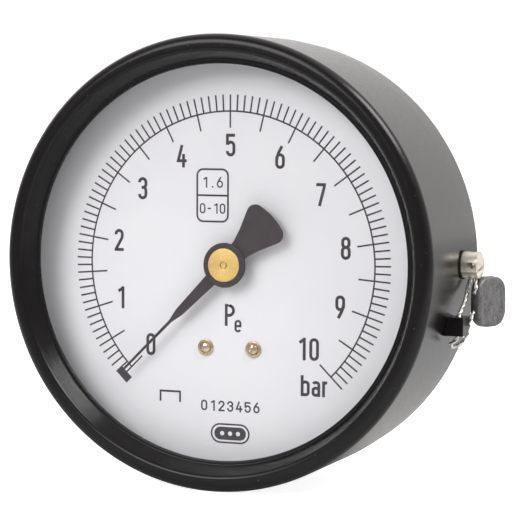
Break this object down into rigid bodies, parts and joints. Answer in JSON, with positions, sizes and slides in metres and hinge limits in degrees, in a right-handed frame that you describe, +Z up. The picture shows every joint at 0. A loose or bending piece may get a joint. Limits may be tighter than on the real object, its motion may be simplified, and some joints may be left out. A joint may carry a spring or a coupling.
{
  "type": "pressure gauge",
  "caption": "Round dial pressure gauge with a Bourdon tube and geared movement, black slip-on ring, lower back stem with pipe thread, and a wire-and-lead seal.",
  "frame": {"origin": "on the stem's axis at the square's end face, where the process thread starts", "axes": "+Y along the stem's thread, away from the case; +Z up, from the stem towards 12 o'clock; the dial faces -Y; +X towards 3 o'clock"},
  "size_m": [0.108, 0.0758, 0.0999],
  "materials": {
    "case_paint": "gloss black stove enamel on steel sheet",
    "ring_paint": "satin-gloss black enamel on steel",
    "window_glass": "clear flat instrument glass",
    "black_rubber": "matt black rubber",
    "dial_white": "matt white lacquer on aluminium, black print",
    "screw_nickel": "nickel-plated brass, slightly warm",
    "brass_part": "stamped and turned brass",
    "pointer_black": "matt black paint on aluminium",
    "cap_brass": "turned brass with fine concentric marks",
    "spring_bronze": "phosphor-bronze strip",
    "tube_bronze": "drawn copper-alloy tube",
    "steel_part": "turned steel",
    "stem_brass": "machined brass",
    "seal_nickel": "nickel-plated brass",
    "seal_wire_steel": "twisted galvanised wire",
    "seal_lead": "dull pressed lead with scratches"
  },
  "bodies": {
    "root": {"case_base": "case_paint", "cover_ring": "ring_paint", "window": "window_glass", "window_gasket": "black_rubber", "dial": "dial_white", "dial_screws": "screw_nickel", "dial_spacers": "brass_part", "hairspring": "spring_bronze", "hairspring_stud": "brass_part", "front_plate": "brass_part", "back_plate": "brass_part", "plate_pillars": "brass_part", "plate_screws": "steel_part", "movement_screws": "steel_part", "bourdon_tube": "tube_bronze", "socket": "stem_brass", "socket_gasket": "black_rubber", "socket_screws": "steel_part", "seal_screw": "seal_nickel", "seal_washer": "black_rubber", "seal_lug": "ring_paint", "seal_wire": "seal_wire_steel", "lead_seal": "seal_lead"},
    "pointer_shaft": {"pointer": "pointer_black", "pointer_hub": "pointer_black", "pointer_cap": "cap_brass", "pinion_arbor": "steel_part", "hairspring_collet": "brass_part"},
    "sector": {"sector_gear": "brass_part", "sector_arbor": "steel_part", "sector_pin": "steel_part"},
    "tip": {"tube_tip": "brass_part", "link": "brass_part", "link_pin": "steel_part"}
  },
  "joints": [
    {"name": "pointer_turn", "type": "hinge", "parent": "root", "child": "pointer_shaft", "pos_m": [0, -0.041, 0.03], "axis": [0, 1, 0], "range_deg": [0, 270], "stiffness_Nm_per_rad": 0.001, "deforming": ["hairspring"]},
    {"name": "sector_turn", "type": "hinge", "parent": "root", "child": "sector", "pos_m": [0, -0.035, 0.0102], "axis": [0, 1, 0], "range_deg": [-27, 0]},
    {"name": "tip_slide", "type": "slide", "parent": "root", "child": "tip", "axis": [1, 0, 0], "range_m": [0, 0.00374], "deforming": ["bourdon_tube"]}
  ],
  "couplings": [
    {"joint": "sector_turn", "follows": "pointer_turn", "ratio": -0.1},
    {"joint": "tip_slide", "follows": "pointer_turn", "m_per_rad": 0.00079262}
  ]
}
